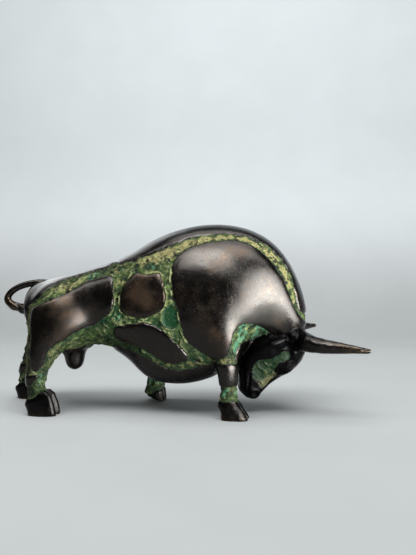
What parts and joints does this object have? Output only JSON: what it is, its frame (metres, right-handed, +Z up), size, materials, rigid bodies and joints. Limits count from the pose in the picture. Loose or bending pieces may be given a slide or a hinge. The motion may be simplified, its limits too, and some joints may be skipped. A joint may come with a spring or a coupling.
{
  "type": "bull sculpture",
  "caption": "Cast bronze charging bull with humped back, lowered turned head, looped tail and smooth shields divided by rough carved channels.",
  "frame": {"origin": "on the ground, under the middle of the bull's bounding box", "axes": "+X towards the head and horns, +Z up; the bull's right side faces -Y"},
  "size_m": [0.289, 0.1084, 0.1424],
  "materials": {
    "bronze": "dark polished bronze, green and ochre patina in the rough channels"
  },
  "bodies": {
    "root": {"bull": "bronze"}
  },
  "joints": []
}
